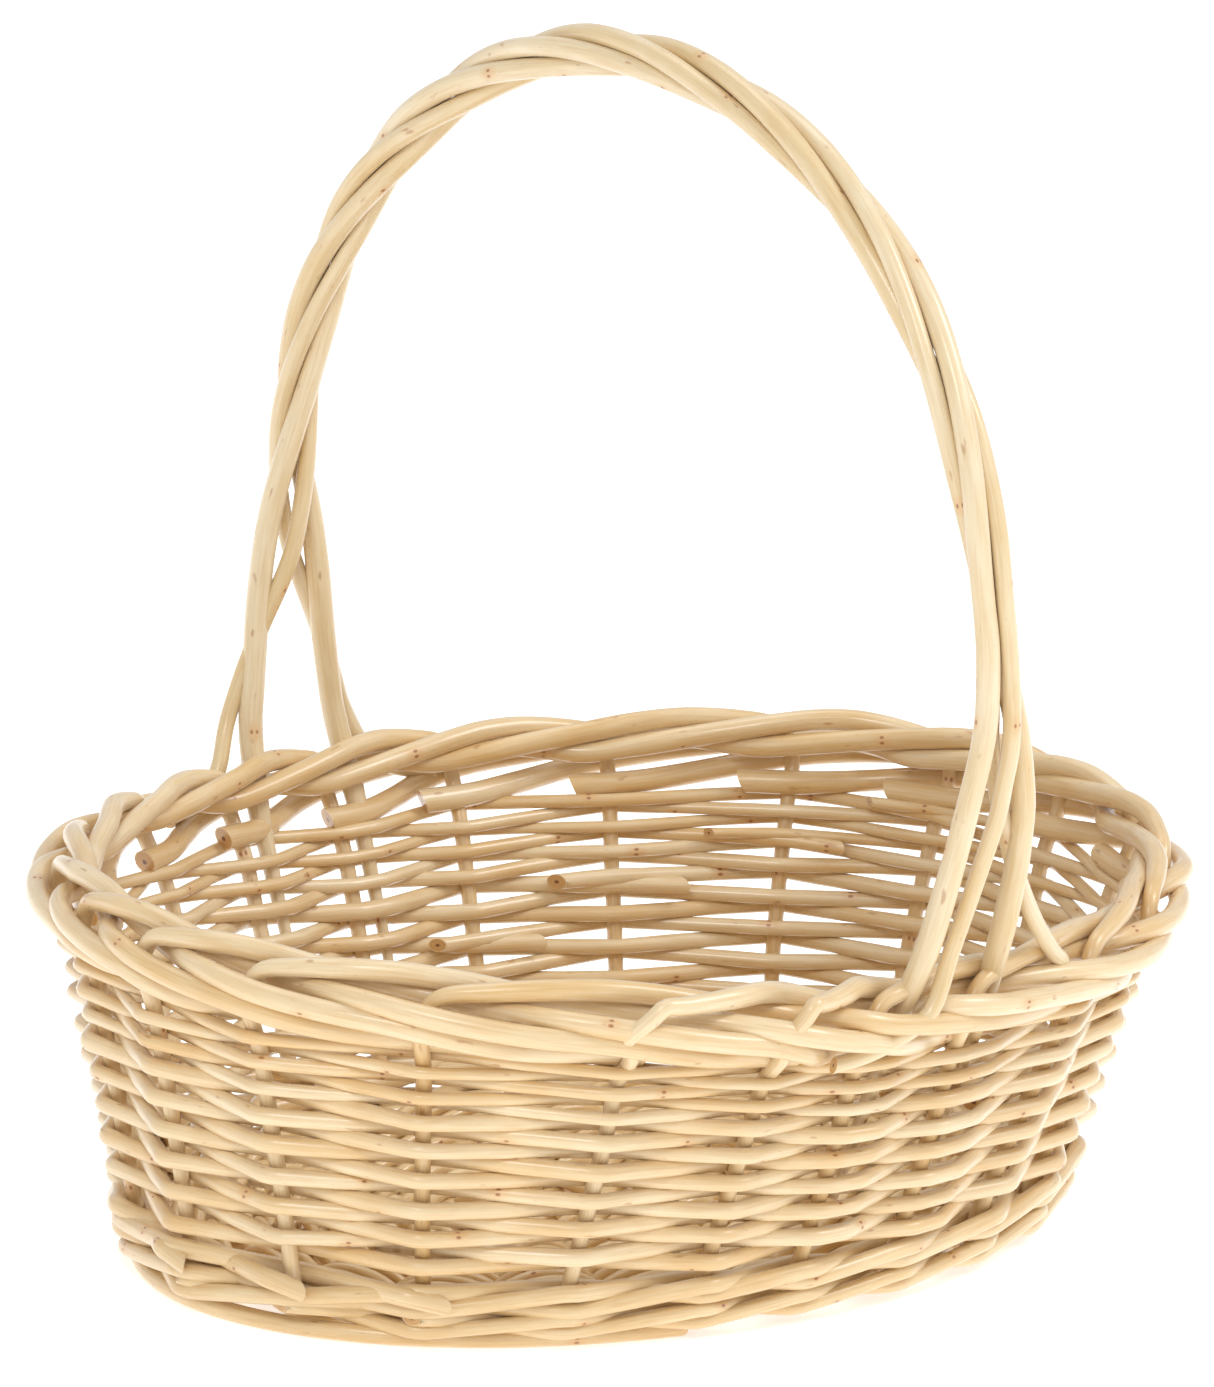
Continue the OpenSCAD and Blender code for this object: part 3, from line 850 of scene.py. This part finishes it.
def handle_rod(j):
    """Rod j's way: from its thick end up inside the wall, over the hoop and down to its tip."""
    _, foot_y, foot_minus_y, thick_first, tip_turn = HANDLE_RODS[j]
    thick_x, thin_x = (foot_y, foot_minus_y) if thick_first else (foot_minus_y, foot_y)
    side = 1 if thick_first else -1
    points = [beside(thick_x, z, 0, side) for z in LEG_HEIGHTS]
    for n in range(HOOP_STEPS + 1):
        q = mix(HOOP_FIRST, HOOP_LAST, n / HOOP_STEPS)
        points.append(handle_point(q if thick_first else 1 - q, j))
    tip = TIP_ENDS.get(j, [(thin_x + tip_turn * x, off, z) for x, off, z in TIP_WAY])
    points += [beside(x, RIM_HEIGHT + z, off, -side) for x, off, z in tip]
    way = through(points, 4)
    last = len(way) - 1
    girths = []
    for n in range(last + 1):
        d = mix(HANDLE_BUTT_D, HANDLE_TIP_D, n / last)
        girths.append(d * mix(SLYPE, 1, smooth((n + 2) / SLYPE_STEPS)))
    return way, girths, False


for j in range(len(HANDLE_RODS)):
    make_rods(
        f"hoop_rod_{j + 1}", [handle_rod(j)], HANDLE_WILLOW, [f"handle_rod_{j + 1}"], sides=18,
        spacing=2.2, wander=1.2, knuckles=0.04,
    )

# ---- floor, light and camera ----


LIT_POINT = Vector((0, 0, 0.15))
FLOOR_HALF, FLOOR_GLOW = 8.0, 0.55
STUDIO_GLOW = 0.68


def plain_floor():
    """Matt white paper sweep: pale and even, lit enough to lose the horizon."""
    mesh = bpy.data.meshes.new("floor")
    half = FLOOR_HALF
    corners = [(-half, -half, 0), (half, -half, 0), (half, half, 0), (-half, half, 0)]
    mesh.from_pydata(corners, [], [(0, 1, 2, 3)])
    material = bpy.data.materials.new("white_paper_floor")
    material.use_nodes = True
    tree = material.node_tree
    tree.nodes.clear()
    paper = add(
        tree, "ShaderNodeBsdfPrincipled",
        {
            "Base Color": srgb("F4F3F1"), "Roughness": 0.9, "Emission Color": srgb("FFFFFF"),
            "Emission Strength": FLOOR_GLOW,
        },
    )
    add(tree, "ShaderNodeOutputMaterial", {"Surface": paper})
    mesh.materials.append(material)
    floor = bpy.data.objects.new("floor", mesh)
    bpy.context.scene.collection.objects.link(floor)


def soft_light(name, place, size, watts, colour):
    """A round soft box that faces the basket's middle."""
    lamp = bpy.data.lights.new(name, "AREA")
    lamp.shape = "DISK"
    lamp.size = size
    lamp.energy = watts
    lamp.color = srgb(colour)[:3]
    light = bpy.data.objects.new(name, lamp)
    aim = LIT_POINT - Vector(place)
    light.matrix_world = Matrix.Translation(place) @ aim.to_track_quat("-Z", "Y").to_matrix().to_4x4()
    bpy.context.scene.collection.objects.link(light)


plain_floor()
soft_light("key_light", (-1.7, -1.3, 2.0), 0.7, 14, "FFFFFF")
soft_light("fill_light", (1.3, -1.4, 2.2), 1.1, 25, "FFFFFF")
soft_light("top_light", (0.3, 0.8, 2.4), 1.4, 8, "FFFFFF")

world = bpy.data.worlds.new("white_studio")
world.use_nodes = True
studio = world.node_tree.nodes["Background"]
studio.inputs["Color"].default_value = (1, 1, 1, 1)
studio.inputs["Strength"].default_value = STUDIO_GLOW
bpy.context.scene.world = world
bpy.context.scene.view_settings.view_transform = "Standard"

CAMERA_TURN, CAMERA_RISE, CAMERA_ROLL = math.radians(-43), math.radians(15.2), math.radians(3)
CAMERA_AWAY = 5.0
CAMERA_AIM = Vector((0, 0, 0.150))
AIM_ACROSS, AIM_UP = -0.0045, 0.0264     # the frame's middle lies this far from that point
SENSOR, LENS = 36.0, 462.6
flat = math.cos(CAMERA_RISE)
back = Vector((math.sin(CAMERA_TURN) * flat, -math.cos(CAMERA_TURN) * flat, math.sin(CAMERA_RISE)))
level = Vector((math.cos(CAMERA_TURN), math.sin(CAMERA_TURN), 0))
upright = back.cross(level)
right = math.cos(CAMERA_ROLL) * level + math.sin(CAMERA_ROLL) * upright
up = -math.sin(CAMERA_ROLL) * level + math.cos(CAMERA_ROLL) * upright
place = CAMERA_AIM + AIM_ACROSS * right + AIM_UP * up + CAMERA_AWAY * back
lens = bpy.data.cameras.new("camera")
lens.sensor_fit = "HORIZONTAL"
lens.sensor_width = SENSOR
lens.lens = LENS
camera = bpy.data.objects.new("camera", lens)
camera.matrix_world = Matrix((
    (right.x, up.x, back.x, place.x),
    (right.y, up.y, back.y, place.y),
    (right.z, up.z, back.z, place.z),
    (0, 0, 0, 1),
))
bpy.context.scene.collection.objects.link(camera)
bpy.context.scene.camera = camera
